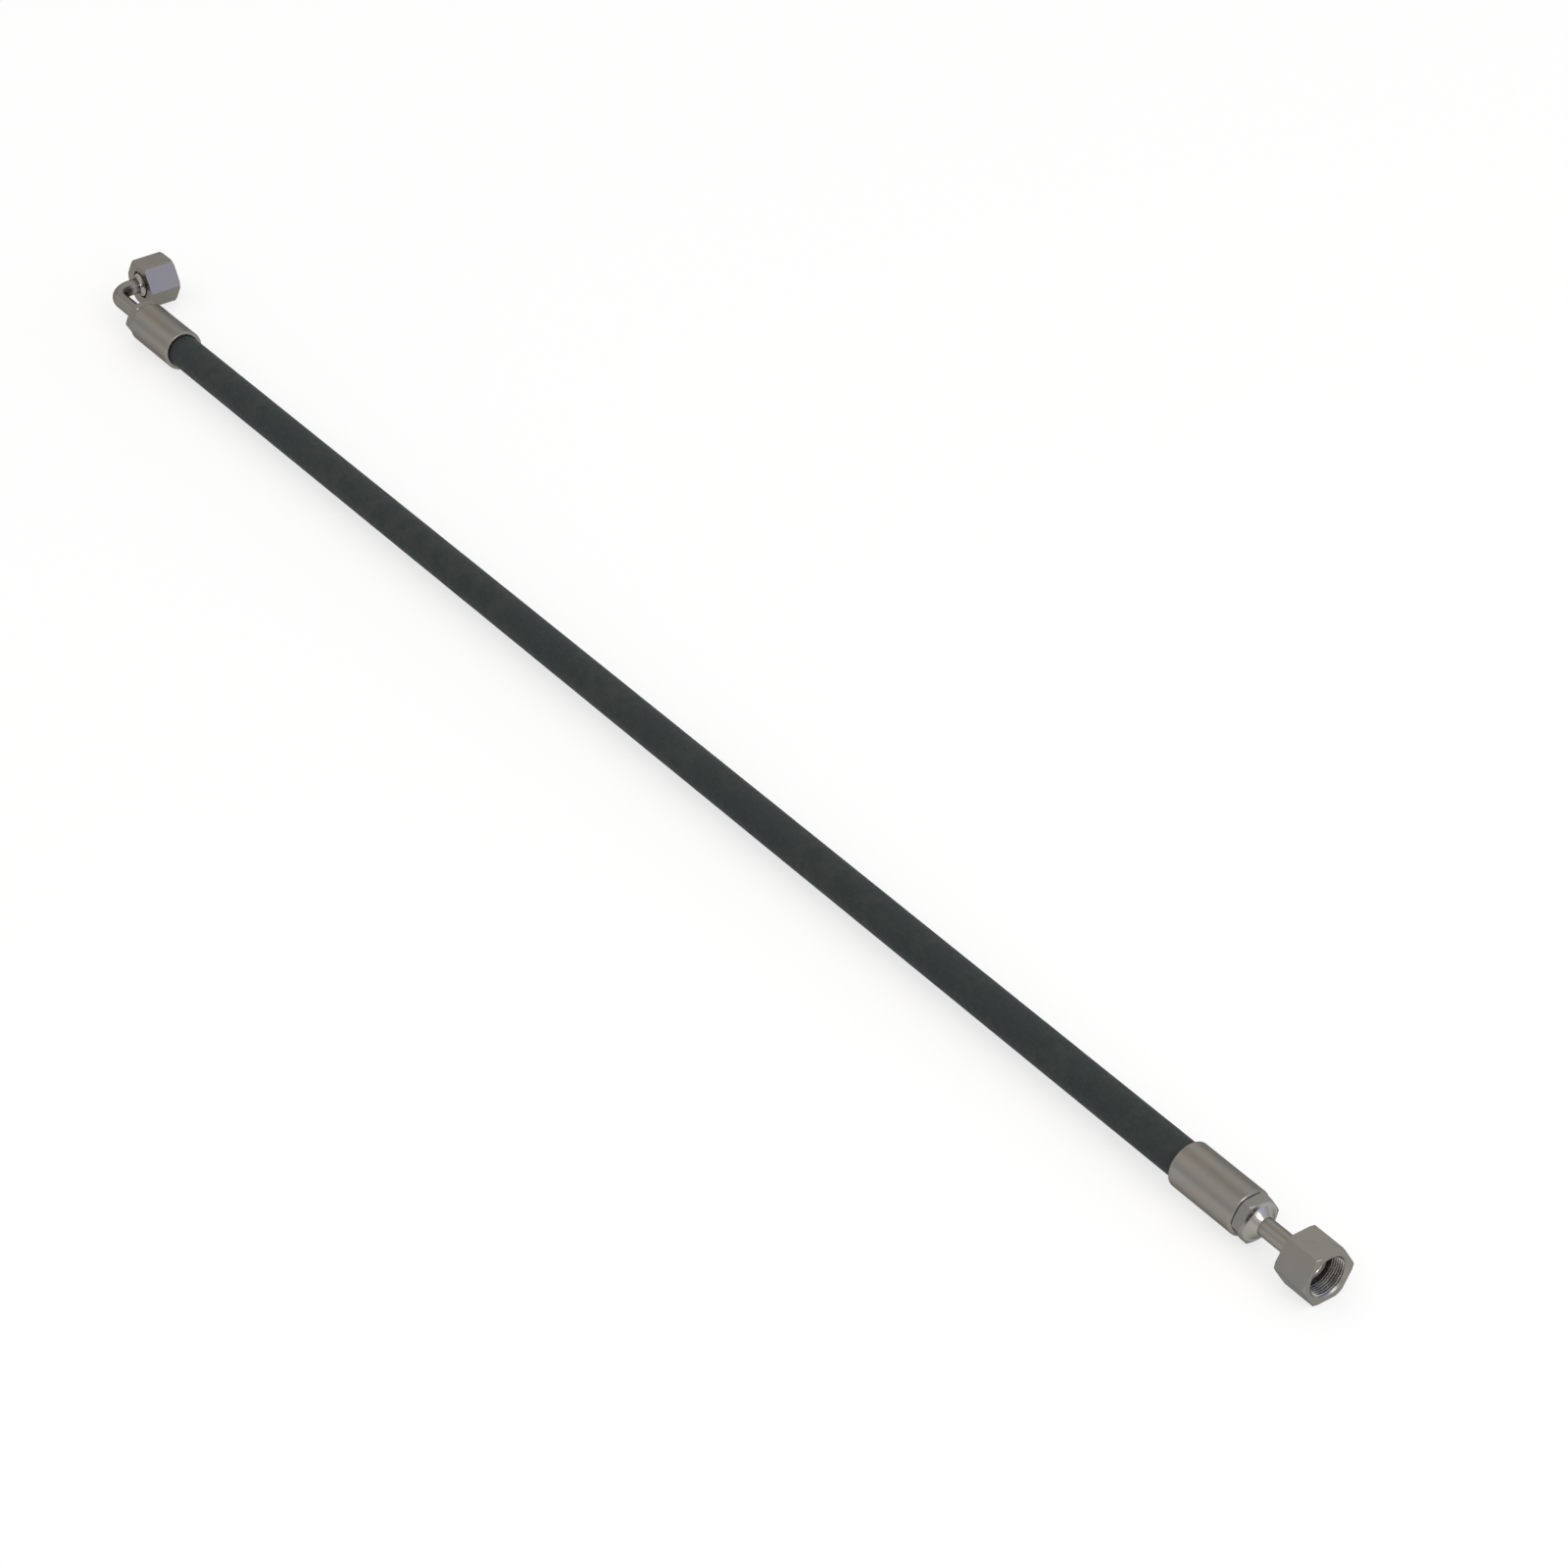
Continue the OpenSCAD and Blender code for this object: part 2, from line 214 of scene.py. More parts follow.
def ease_edges(piece, width=0.2, segments=2, angle=35):
    apply_modifier(piece, "BEVEL", width=width * MM, segments=segments,
                   limit_method="ANGLE", angle_limit=radians(angle), use_clamp_overlap=True)


def smooth(piece, angle=18):
    pick_only(piece)
    bpy.ops.object.shade_smooth_by_angle(angle=radians(angle))


def seat(piece, spot, heading=0):
    """Turns a piece about Z by heading degrees, moves it to its seat and applies the move."""
    pick_only(piece)
    piece.rotation_euler = (0, 0, radians(heading))
    piece.location = spot
    bpy.ops.object.transform_apply(location=True, rotation=True, scale=True)


def copy_of(piece, name):
    pick_only(piece)
    bpy.ops.object.duplicate()
    return name_piece(name)


def dress(piece, finish, slot_name, body, *nodes):
    """Gives a finished piece its material and ties it to its body. The slot name is not used."""
    piece.data.materials.clear()
    piece.data.materials.append(finish)
    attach(piece, body)
    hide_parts(*nodes)
    faces = len(piece.data.polygons)
    print(f"{piece.name}: {faces} faces, rides on {body}, stands for {', '.join(nodes)}")


# %% [markdown]
# ## Building materials
# A procedural material is a small graph of nodes. Three short helpers keep each recipe
# readable: one adds a node with its settings, one adds noise at a size given in
# millimetres, and one blends two colours by a mask. All patterns read Object coordinates, so
# they stay at their real size on every piece. The floor and the studio use the same Graph.

# %% Helpers for materials
class Graph:
    """A node tree, with short ways to add a node and a calculation."""

    def __init__(self, tree):
        self.tree = tree

    def node(self, kind, inputs=(), **settings):
        """Adds a node. An input that is another node's socket is linked, and any other is set."""
        node = self.tree.nodes.new(kind)
        for setting, value in settings.items():
            setattr(node, setting, value)
        for socket, value in dict(inputs).items():
            if isinstance(value, bpy.types.NodeSocket):
                self.tree.links.new(value, node.inputs[socket])
            else:
                node.inputs[socket].default_value = value
        return node

    def math(self, operation, first, second=0.0):
        return self.node("ShaderNodeMath", {0: first, 1: second}, operation=operation).outputs[0]


class Recipe(Graph):
    """A material's node tree, with the Principled shader ready and its noise in real sizes."""

    def __init__(self, name):
        self.material = bpy.data.materials.new(name)
        self.material.use_nodes = True
        super().__init__(self.material.node_tree)
        self.shader = self.tree.nodes["Principled BSDF"]
        self.place = self.node("ShaderNodeTexCoord").outputs["Object"]

    def set(self, **values):
        for socket, value in values.items():
            self.shader.inputs[socket.replace("_", " ")].default_value = value

    def stretched(self, x=1.0, y=1.0, z=1.0):
        inputs = {"Vector": self.place, "Scale": (x, y, z)}
        return self.node("ShaderNodeMapping", inputs).outputs[0]

    def noise(self, size_mm, detail=3.0, place=None, roughness=0.5):
        inputs = {"Vector": place or self.place, "Scale": 1000.0 / size_mm,
                  "Detail": detail, "Roughness": roughness}
        return self.node("ShaderNodeTexNoise", inputs).outputs[0]

    def ramp(self, value, low, high, out_low=0.0, out_high=1.0):
        inputs = {0: value, 1: low, 2: high, 3: out_low, 4: out_high}
        return self.node("ShaderNodeMapRange", inputs).outputs[0]

    def blend(self, mask, first, second):
        """Mixes two colours by a mask. A colour is another node's socket or three numbers."""
        first, second = [(*colour, 1.0) if isinstance(colour, tuple) else colour
                         for colour in (first, second)]
        inputs = {0: mask, 6: first, 7: second}
        return self.node("ShaderNodeMix", inputs, data_type="RGBA").outputs[2]

    def feed(self, socket, value):
        self.tree.links.new(value, self.shader.inputs[socket])

    def bump(self, *layers):
        """Stacks bumps, each a (height, depth in millimetres) pair, into the shader's normal."""
        normal = None
        for height, depth in layers:
            inputs = {"Height": height, "Distance": depth * MM, "Strength": 1.0}
            if normal:
                inputs["Normal"] = normal
            normal = self.node("ShaderNodeBump", inputs).outputs[0]
        self.feed("Normal", normal)


# %% [markdown]
# ## The rubber cover
# The cover of a two-wire hose is cured inside a tight wrap of wet nylon tape. The tape is
# pulled off afterwards and leaves a fine cloth imprint, with faint bands where its edges lay, so
# the rubber is dull, dark slate green, and a little mottled. The imprint could be modelled,
# but it is a tenth of a millimetre deep, so it is bump. It follows the hose: the angle round
# the axis and the distance along it make two crossing families of threads.

# %% The cover's material
def hose_angle(recipe):
    """The angle round the hose's axis and the distance along it, as two sockets."""
    axes = recipe.node("ShaderNodeSeparateXYZ", {0: recipe.place})
    return recipe.math("ARCTAN2", axes.outputs[2], axes.outputs[1]), axes.outputs[0]


def crossing_threads(recipe, count, pitch_mm, sharp=1.0):
    """Two families of threads that cross round the hose, as a height from 0 to 1."""
    angle, along = hose_angle(recipe)
    around = recipe.math("MULTIPLY", angle, float(count))
    run = recipe.math("MULTIPLY", along, 2 * pi / (pitch_mm * MM))
    one = recipe.math("SINE", recipe.math("ADD", around, run))
    other = recipe.math("SINE", recipe.math("SUBTRACT", around, run))
    return recipe.ramp(recipe.math("MULTIPLY", one, other), -sharp, sharp)


def make_wrapped_rubber():
    threads_round, thread_pitch_mm, tape_pitch_mm = 72, 0.97, 52
    rubber = Recipe("wrapped_rubber_cover")
    rubber.set(Metallic=0.0, IOR=1.5, Specular_IOR_Level=0.2)
    patches = rubber.ramp(rubber.noise(11, 2.0), 0.36, 0.64)
    tint = rubber.ramp(rubber.noise(26, 2.0), 0.40, 0.62)
    green = rubber.blend(patches, (0.026, 0.036, 0.033), (0.037, 0.044, 0.041))
    slate = rubber.blend(tint, green, (0.029, 0.036, 0.038))
    specks = rubber.ramp(rubber.noise(0.7, 1.0), 0.60, 0.74, 0.0, 0.5)
    rubber.feed("Base Color", rubber.blend(specks, slate, (0.070, 0.080, 0.076)))
    rubber.feed("Roughness", rubber.ramp(rubber.noise(3.0, 4.0), 0.3, 0.7, 0.60, 0.75))
    weave = crossing_threads(rubber, threads_round, thread_pitch_mm)
    angle, along = hose_angle(rubber)
    run = rubber.math("MULTIPLY", along, 2 * pi / (tape_pitch_mm * MM))
    lap = rubber.ramp(rubber.math("SINE", rubber.math("ADD", angle, run)), 0.97, 1.0)
    rubber.bump((weave, 0.04), (rubber.noise(1.6, 4.0), 0.05), (lap, 0.04))
    return rubber.material


wrapped_rubber = make_wrapped_rubber()
print("made", wrapped_rubber.name)

# %% [markdown]
# ## The hose
# The hose is whole and lies straight between its two ferrules, held at both ends, so it is
# a taut length with no far plug. It could be a thick curve, but a turned tube also has a wall
# and cut ends, which show where it enters the ferrules. It is turned with many rings along
# its length, so that it isn't a single plain cylinder: each ring's radius is varied by a few
# hundredths of a millimetre, as on a real wrapped cover.

# %% The hose cover
def make_hose_cover(rings=220):
    inner, outer, edge, waviness = 9.8, 11.1, 0.3, 0.05
    start, stop = cover_high.x / MM, cover_low.x / MM
    skin = []
    for i in range(1, rings):
        x = start + (stop - start) * i / rings
        swell = 0.5 + 0.3 * sin(x * 0.121) + 0.2 * sin(x * 0.37 + 1.0)
        skin.append((x, outer - waviness * swell))
    outline = [(start, inner), (start, outer - edge), (start - edge, outer)]
    outline += skin + [(stop + edge, outer), (stop, outer - edge), (stop, inner)]
    cover = turned("hose_cover_skin", outline, steps=72)
    smooth(cover)
    return cover


hose = make_hose_cover()
dress(hose, wrapped_rubber, "cover_rubber", "hose_assembly", "hose_cover")

# %% [markdown]
# ## Plated steel
# The fittings are mild steel with a thin zinc plate. It is bright but not polished: a soft
# mirror, a little warm, with faint cloudy patches from the plating bath and hair-fine
# handling marks. A colour alone would look like grey paint, so roughness carries most of the
# detail: clouds a few millimetres wide, and long fine scratches in two directions.
# Bores and threads are cut clean and hold less plate, so the same recipe gives them the
# brightest tone. That tone is also painted light, which lifts the shade deep inside the nuts,
# and a darker copy on the thread's flanks paints dark lines between bright crests. The turned
# collars and the machined cones lie between the two.

# %% The four steels
def make_steel(name, base, warm, cool, low_rough, high_rough, edge):
    steel = Recipe(name)
    steel.set(Metallic=1.0, Specular_Tint=edge)
    clouds = steel.ramp(steel.noise(9, 4.0), 0.35, 0.65)
    drift = steel.ramp(steel.noise(22, 2.0), 0.42, 0.62)
    steel.feed("Base Color", steel.blend(drift, steel.blend(clouds, base, warm), cool))
    scratch = steel.noise(0.35, 2.0, place=steel.stretched(0.08, 1.0, 1.0))
    cross = steel.noise(0.30, 2.0, place=steel.stretched(1.0, 0.10, 0.6))
    marks = steel.math("MAXIMUM", steel.ramp(scratch, 0.62, 0.80),
                       steel.ramp(cross, 0.64, 0.82))
    grade = steel.ramp(clouds, 0.0, 1.0, low_rough, high_rough)
    steel.feed("Roughness", steel.math("ADD", grade, steel.math("MULTIPLY", marks, 0.08)))
    steel.bump((steel.noise(0.5, 3.0), 0.0015), (marks, 0.0015))
    return steel.material


plated_steel = make_steel(
    "zinc_plated_steel", base=(0.262, 0.249, 0.225), warm=(0.268, 0.249, 0.217),
    cool=(0.252, 0.246, 0.228), low_rough=0.24, high_rough=0.31, edge=(0.40, 0.40, 0.39, 1))
turned_steel = make_steel(
    "turned_plated_steel", base=(0.36, 0.345, 0.318), warm=(0.37, 0.35, 0.312),
    cool=(0.35, 0.34, 0.315), low_rough=0.17, high_rough=0.23, edge=(0.45, 0.45, 0.44, 1))
# A lighter copy of the plated steel for cut bores, partly painted light that lifts the shade
# inside the nuts.
bore_painted_bright = make_steel(
    "cut_bore_painted_bright", base=(0.80, 0.785, 0.76), warm=(0.82, 0.79, 0.75),
    cool=(0.77, 0.765, 0.75), low_rough=0.26, high_rough=0.34, edge=(0.9, 0.9, 0.9, 1))
# On the nuts' thread flanks this tone is painted shade beside the painted bright crests.
machined_steel = make_steel(
    "machined_cone_steel", base=(0.48, 0.465, 0.435), warm=(0.50, 0.475, 0.43),
    cool=(0.46, 0.45, 0.43), low_rough=0.20, high_rough=0.28, edge=(0.7, 0.7, 0.7, 1))
print("made", plated_steel.name, turned_steel.name, bore_painted_bright.name, machined_steel.name)

# %% [markdown]
# ## The ferrules
# A ferrule is a short steel sleeve that a press crimps over the hose. Its front lip drops
# into a groove in the hose tail, and rings of teeth inside bite the outer braid. One outline
# holds all of that, and the two outside corners are rolled over by the press. Both
# ferrules are the same, so the second is a copy turned end for end.

# %% Both ferrules
def ferrule_outline():
    """The sleeve's outline, with a close ring beside each rolled corner to keep its flats flat."""
    radius, length = 13.9, 49.0
    front, rear, mouth, beside = 2.2, 1.6, 0.4, 0.1
    lip, lip_length = 7.9, 3.0
    bore, pocket_radius, pocket = 10.35, 11.15, 36.6
    teeth, first_tooth, tooth_pitch, tooth_length, tooth_radius = 6, -8.0, 4.5, 3.0, 9.85
    points = [(0.0, lip), (0.0, radius - front - beside), (0.0, radius - front)]
    points += corner_arc(-front, radius - front, front, 0, 90)[1:]
    points += [(-front - beside, radius), (-length + rear + beside, radius)]
    points += corner_arc(-length + rear, radius - rear, rear, 90, 180)
    points += corner_arc(-length + mouth, pocket_radius + mouth, mouth, 180, 270)
    points += [(-pocket, pocket_radius), (-pocket, bore)]
    for tooth in reversed(range(teeth)):
        start = first_tooth - tooth * tooth_pitch
        points += [(start - tooth_length, bore), (start - tooth_length, tooth_radius),
                   (start, tooth_radius), (start, bore)]
    return points + [(-lip_length, bore), (-lip_length, lip)]


straight_ferrule = turned("straight_ferrule_sleeve", ferrule_outline(), steps=128)
smooth(straight_ferrule)
elbow_ferrule = copy_of(straight_ferrule, "elbow_ferrule_sleeve")
seat(straight_ferrule, (straight_hex_rear, 0, 0))
seat(elbow_ferrule, (elbow_hex_rear, 0, 0), heading=180)
dress(straight_ferrule, plated_steel, "plated_steel", "hose_assembly", "straight_ferrule")
dress(elbow_ferrule, plated_steel, "plated_steel", "hose_assembly", "elbow_ferrule")

# %% [markdown]
# ## Hexagons
# A spanner hexagon is turned bar with six flats. The lathe cuts the 30 degree chamfers and
# the flats come from the bar, so the shape is where a turned solid and a hexagonal bar overlap.
# A Boolean modifier set to Intersect does just that, and it gives the curved lines where
# each flat meets the chamfer. Drawing those curves by hand would only copy them roughly.

# %% Helpers for hexagons
def corner_radius(across_flats):
    return across_flats / 2 / cos(radians(30))


def hexagon_bar(name, across_flats, start, stop):
    """A hexagonal bar along X with flats facing up and down."""
    pick_only()
    corner = corner_radius(across_flats) * MM
    middle = ((start + stop) / 2 * MM, 0, 0)
    bpy.ops.mesh.primitive_cylinder_add(vertices=6, radius=corner, depth=(stop - start) * MM,
                                        location=middle, rotation=(0, pi / 2, 0))
    bpy.ops.object.transform_apply(location=True, rotation=True, scale=True)
    return name_piece(name)


def cut(piece, tool, operation):
    """Uses one solid to shape another, then throws away the tool and any doubled face."""
    apply_modifier(piece, "BOOLEAN", operation=operation, solver="EXACT", object=tool)
    bpy.data.objects.remove(tool)
    piece.data.validate()


def chamfer_fall(across_flats, face_radius, spare=1.0):
    """A 30 degree chamfer's outer radius, just clear of the corners, and the length it takes."""
    radius = corner_radius(across_flats) + spare
    return radius, (radius - face_radius) * tan(radians(30))


def flatten_large(piece, area=10.0):
    """Shades faces over an area in square millimetres as true planes, whatever edges they meet."""
    for face in piece.data.polygons:
        if face.area > area * MM * MM:
            face.use_smooth = False


# %% [markdown]
# ## The hose tails
# The tail is one steel part: the hexagon that a spanner holds, a groove for the
# ferrule's lip, and a long tube with shallow barbs that goes into the bore of the hose. Only
# the hexagon shows, but the whole part is drawn, so a cut-away picture would be true.
# The bar is longer than the whole tail and wider than the barbs, so one Intersect shapes it.

# %% Both hose tails
def hose_tail(name, tube_radius):
    across, front_face, rear_face = 24.0, 11.8, 11.95
    socket, bore, tip, tip_radius = tube_radius + SOCKET_PLAY, 4.5, -43.6, 5.5
    barbs, first_barb, barb_pitch, crest, valley = 8, -7.6, 3.8, 6.3, 5.8
    land_back, land_front, land, groove = -5.4, -3.1, 8.6, 7.8
    radius, front_fall = chamfer_fall(across, front_face)
    radius, rear_fall = chamfer_fall(across, rear_face)
    points = [(TAIL_HEX_LENGTH, socket), (SOCKET_FLOOR, socket), (SOCKET_FLOOR, bore)]
    points += [(tip, bore), (tip, tip_radius), (tip + 1, crest)]
    for barb in reversed(range(barbs)):
        start = first_barb - barb * barb_pitch
        points += [(start - 2.8, crest), (start - 0.2, valley), (start, crest)]
    points += [(land_back, crest), (land_back, land), (land_front, land), (land_front, groove)]
    points += [(0.0, groove), (0.0, rear_face), (rear_fall, radius)]
    points += [(TAIL_HEX_LENGTH - front_fall, radius), (TAIL_HEX_LENGTH, front_face)]
    tail = turned(name, points)
    cut(tail, hexagon_bar("bar", across, tip - 1, TAIL_HEX_LENGTH + 1), "INTERSECT")
    ease_edges(tail, width=0.08)
    smooth(tail)
    flatten_large(tail)
    return tail


straight_tail = hose_tail("straight_tail_hexagon", STEM_RADIUS)
seat(straight_tail, (straight_hex_rear, 0, 0))
dress(straight_tail, plated_steel, "plated_steel", "hose_assembly", "straight_hose_tail")
elbow_tail = hose_tail("elbow_tail_hexagon", ELBOW_RADIUS)
seat(elbow_tail, (elbow_hex_rear, 0, 0), heading=180)
dress(elbow_tail, plated_steel, "plated_steel", "hose_assembly", "elbow_hose_tail")

# %% [markdown]
# ## The straight stem
# Plain tube joins each hexagon to its cone head. The straight stem is turned like the rest,
# with its ends broken. It starts at the floor of the hexagon's socket and ends in the head's.

# %% The straight stem
stem_back = straight_hex_rear / MM + SOCKET_FLOOR
stem_outline = [(stem_back, TUBE_BORE), (stem_back, STEM_RADIUS),
                (TUBE_END, STEM_RADIUS), (TUBE_END, TUBE_BORE)]
stem = turned("straight_stem", stem_outline)
ease_edges(stem, width=0.15)
smooth(stem)
seat(stem, (straight_outlet.x, 0, 0))
dress(stem, plated_steel, "plated_steel", "hose_assembly", "straight_stem_tube")

# %% [markdown]
# ## The swept elbow
# The elbow is a slightly thinner tube, bent through a quarter turn on a mandrel. It could be
# a bevelled curve, but it is made as the bender makes it: a ring is drawn out straight, spun
# about the centre of the bend, drawn out again, and given its wall with Solidify.

# %% The swept elbow
def swept_elbow(name):
    radius, wall, bend = ELBOW_RADIUS * MM, (ELBOW_RADIUS - TUBE_BORE) * MM, 14.0 * MM
    inlet = elbow_hex_rear - SOCKET_FLOOR * MM
    leg = elbow_outlet.x + bend
    outlet = elbow_outlet.y + TUBE_END * MM
    pick_only()
    bpy.ops.mesh.primitive_circle_add(vertices=96, radius=radius, rotation=(0, pi / 2, 0))
    bpy.ops.object.transform_apply(location=True, rotation=True, scale=True)
    tube = name_piece(name)
    bpy.ops.object.mode_set(mode="EDIT")
    bpy.ops.mesh.select_all(action="SELECT")
    bpy.ops.transform.translate(value=(inlet, 0, 0))
    bpy.ops.mesh.extrude_edges_move(TRANSFORM_OT_translate={"value": (leg - inlet, 0, 0)})
    bpy.ops.mesh.spin(steps=48, angle=pi / 2, center=(leg, bend, 0), axis=(0, 0, 1))
    bpy.ops.mesh.extrude_edges_move(TRANSFORM_OT_translate={"value": (0, outlet - bend, 0)})
    bpy.ops.mesh.select_all(action="SELECT")
    bpy.ops.mesh.remove_doubles(threshold=0.5e-6)
    bpy.ops.mesh.normals_make_consistent(inside=False)
    bpy.ops.object.mode_set(mode="OBJECT")
    apply_modifier(tube, "SOLIDIFY", thickness=wall, offset=-1.0, use_even_offset=True)
    smooth(tube)
    return tube


elbow_tube = swept_elbow("elbow_tube")
dress(elbow_tube, plated_steel, "plated_steel", "hose_assembly", "elbow_swept_tube")
print("elbow tube spans", [round(v, 4) for v in elbow_tube.dimensions])

# %% [markdown]
# ## The root collars
# A trumpet-shaped collar leads from the hexagon's face down to the tube. It could be a plain
# cone, but a cone reflects one flat tone. This one rises from the face in a tight curve and
# then runs to the tube in a long shallow sweep, so the key light draws one long streak down it,
# with a thin dark line round its rim.
# The outline is two arcs that share a tangent where they join.

# %% The two root collars
def root_collar(name, tube_radius, steps=12):
    rim, foot, sweep, join_angle = 11.7, 4.0, 25.0, radians(36)
    join_radius = rim - foot * sin(join_angle)
    join_x = TAIL_HEX_LENGTH + foot * (1 - cos(join_angle))
    centre_radius = join_radius + sweep * sin(join_angle)
    centre_x = join_x + sweep * cos(join_angle)
    end_angle = asin((centre_radius - tube_radius) / sweep)
    points = [(TAIL_HEX_LENGTH, tube_radius - COLLAR_SINK)]
    for step in range(steps + 1):
        turn = join_angle * step / steps
        points.append((TAIL_HEX_LENGTH + foot * (1 - cos(turn)), rim - foot * sin(turn)))
    for step in range(1, steps + 1):
        turn = join_angle + (end_angle - join_angle) * step / steps
        points.append((centre_x - sweep * cos(turn), centre_radius - sweep * sin(turn)))
    points.append((points[-1][0], tube_radius - COLLAR_SINK))
    collar = turned(name, points, steps=128)
    smooth(collar)
    return collar


straight_root = root_collar("straight_root_collar", STEM_RADIUS)
seat(straight_root, (straight_hex_rear, 0, 0))
dress(straight_root, turned_steel, "turned_steel", "hose_assembly", "straight_root_flare")
elbow_root = root_collar("elbow_root_collar", ELBOW_RADIUS)
seat(elbow_root, (elbow_hex_rear, 0, 0), heading=180)
dress(elbow_root, turned_steel, "turned_steel", "hose_assembly", "elbow_root_flare")
print("root collar ends", round(straight_root.bound_box[6][0] / MM, 2), "mm along X")

# %% [markdown]
# ## The neck collars
# Behind each cone head a small quarter-circle sweep spreads the tube out to the head's rim.
# Its last ring runs on a little way along the tube, so that its shading ends square to the tube.

# %% The two neck collars
def neck_collar(name, tube_radius, steps=24):
    sweep, run_on, run_on_height = 2.4, 0.3, 0.004
    centre = tube_radius + sweep
    points = [(HEAD_BACK, tube_radius - COLLAR_SINK), (HEAD_BACK, centre)]
    for step in range(1, steps + 1):
        turn = radians(90 * step / steps)
        points.append((HEAD_BACK - sweep * (1 - cos(turn)), centre - sweep * sin(turn)))
    end = points[-1][0] - run_on
    points += [(end, tube_radius + run_on_height), (end, tube_radius - COLLAR_SINK)]
    collar = turned(name, points, steps=128)
    smooth(collar)
    return collar


straight_neck = neck_collar("straight_neck_collar", STEM_RADIUS)
seat(straight_neck, straight_outlet)
dress(straight_neck, turned_steel, "turned_steel", "hose_assembly", "straight_neck_flare")
elbow_neck = neck_collar("elbow_neck_collar", ELBOW_RADIUS)
seat(elbow_neck, elbow_outlet, heading=90)
dress(elbow_neck, turned_steel, "turned_steel", "hose_assembly", "elbow_neck_flare")

# %% [markdown]
# ## The cone heads
# The end of each tube carries a head with a 24 degree cone, which seals in the mating
# part. An O-ring sits in a square groove near the cone's base, and behind it a belt and a
# 45 degree shoulder take the nut's pull through a wire ring. It is a single outline again.

# %% Both cone heads
def cone_head(name, tube_radius):
    taper = tan(radians(12))
    belt_front, belt_back, belt_radius = -14.8, -16.0, 9.0
    shoulder_back, neck_radius = -17.1, 7.9
    nose, chamfer, mouth = -8.8, 0.4, 0.8
    nose_radius = belt_radius - (nose - belt_front) * taper
    groove_back, groove_front, groove_radius = -14.1, -11.9, 7.1
    socket = tube_radius + SOCKET_PLAY
    points = [
        (nose - mouth, TUBE_BORE), (nose, TUBE_BORE + mouth), (nose, nose_radius - chamfer),
        (nose - chamfer, nose_radius + chamfer * taper),
        (groove_front, nose_radius + (nose - groove_front) * taper),
        (groove_front, groove_radius), (groove_back, groove_radius),
        (groove_back, nose_radius + (nose - groove_back) * taper),
        (belt_front, belt_radius), (belt_back, belt_radius),
        (shoulder_back, neck_radius), (HEAD_BACK, neck_radius),
        (HEAD_BACK, socket), (TUBE_END, socket), (TUBE_END, TUBE_BORE),
    ]
    head = turned(name, points)
    ease_edges(head, width=0.12)
    smooth(head)
    return head


straight_head = cone_head("straight_cone_nose", STEM_RADIUS)
seat(straight_head, straight_outlet)
dress(straight_head, machined_steel, "plated_steel", "hose_assembly", "straight_cone_head")
elbow_head = cone_head("elbow_cone_nose", ELBOW_RADIUS)
seat(elbow_head, elbow_outlet, heading=90)
dress(elbow_head, machined_steel, "plated_steel", "hose_assembly", "elbow_cone_head")

# %% [markdown]
# ## The swivel nuts
# A swivel nut is a hexagon with a 24 mm fine thread at its mouth, a relief behind the
# thread, a groove for the thrust wire, and a smaller bore at the back that the head can't
# pass. The outside and all the bores are one turned outline, cut to a hexagon by the bar.
# The thread is then cut as a tap cuts it. The tap is a trapezoid swept along a helix by
# the Screw modifier, with the 60 degree flanks of a metric thread, and a Boolean takes
# its shape out of the nut. Rings instead of a helix would be quicker, but a nut whose
# grooves don't climb looks wrong as soon as it is seen from the mouth.

# %% The tap
def thread_tap(name, pitch=1.5, major=12.0, root=10.9, turns=8, start=2.2):
    """A helical ridge along -X whose section is a thread's groove, capped at both ends."""
    tip = pitch / 16
    foot = tip + (major - root) * tan(radians(30))
    section = [(start - foot, root), (start - tip, major),
               (start + tip, major), (start + foot, root)]
    tap = draw_outline(name, section)
    bpy.ops.object.mode_set(mode="OBJECT")
    apply_modifier(tap, "SCREW", axis="X", angle=2 * pi, screw_offset=-pitch * MM,
                   iterations=turns, steps=96, render_steps=96, use_merge_vertices=False)
    pick_only(tap)
    bpy.ops.object.mode_set(mode="EDIT")
    bpy.ops.mesh.select_mode(type="EDGE")
    bpy.ops.mesh.select_all(action="DESELECT")
    bpy.ops.mesh.select_non_manifold()
    bpy.ops.mesh.fill_holes(sides=4)
    bpy.ops.mesh.select_all(action="SELECT")
    bpy.ops.mesh.normals_make_consistent(inside=False)
    bpy.ops.object.mode_set(mode="OBJECT")
    return tap


# %% [markdown]
# ## Turning and finishing the nuts
# The outside edges are eased before the tap cuts the nut, so the thread keeps its thin crests.
# Plate hardly reaches inside a nut, so its inside is bright cut steel, and the split is also
# painted light: the crests and the bore are painted bright, which lifts the shade deep in the nut,
# and the flanks of the thread a shade darker, which paints light and dark lines along the thread.
# The nut is one solid, so each face gets its finish by its place and by the way it faces.

# %% Both nuts
def swivel_nut(name):
    across, face, front, back = 30.0, 15.95, 1.312, HEAD_BACK
    radius, fall = chamfer_fall(across, face)
    rear_bore, rear_break = 9.3, 0.5
    ring_back, ring_front, ring_radius = -18.95, -16.15, 10.8
    lip_front, lip_radius = -15.2, 9.6
    relief_front, relief_radius = -8.5, 12.15
    thread_radius, mouth_radius = 11.188, 12.5
    points = [
        (front, face), (front - fall, radius), (back + fall, radius), (back, face),
        (back, rear_bore + rear_break), (back + rear_break, rear_bore), (ring_back, rear_bore),
        (ring_back, ring_radius), (ring_front, ring_radius), (ring_front, lip_radius),
        (lip_front, lip_radius), (lip_front, relief_radius), (relief_front, relief_radius),
        (relief_front, thread_radius), (0.0, thread_radius), (front, mouth_radius),
    ]
    nut = turned(name, points)
    cut(nut, hexagon_bar("bar", across, back - 1, front + 1), "INTERSECT")
    ease_edges(nut, width=0.10)
    cut(nut, thread_tap("tap"), "DIFFERENCE")
    smooth(nut)
    flatten_large(nut)
    return nut


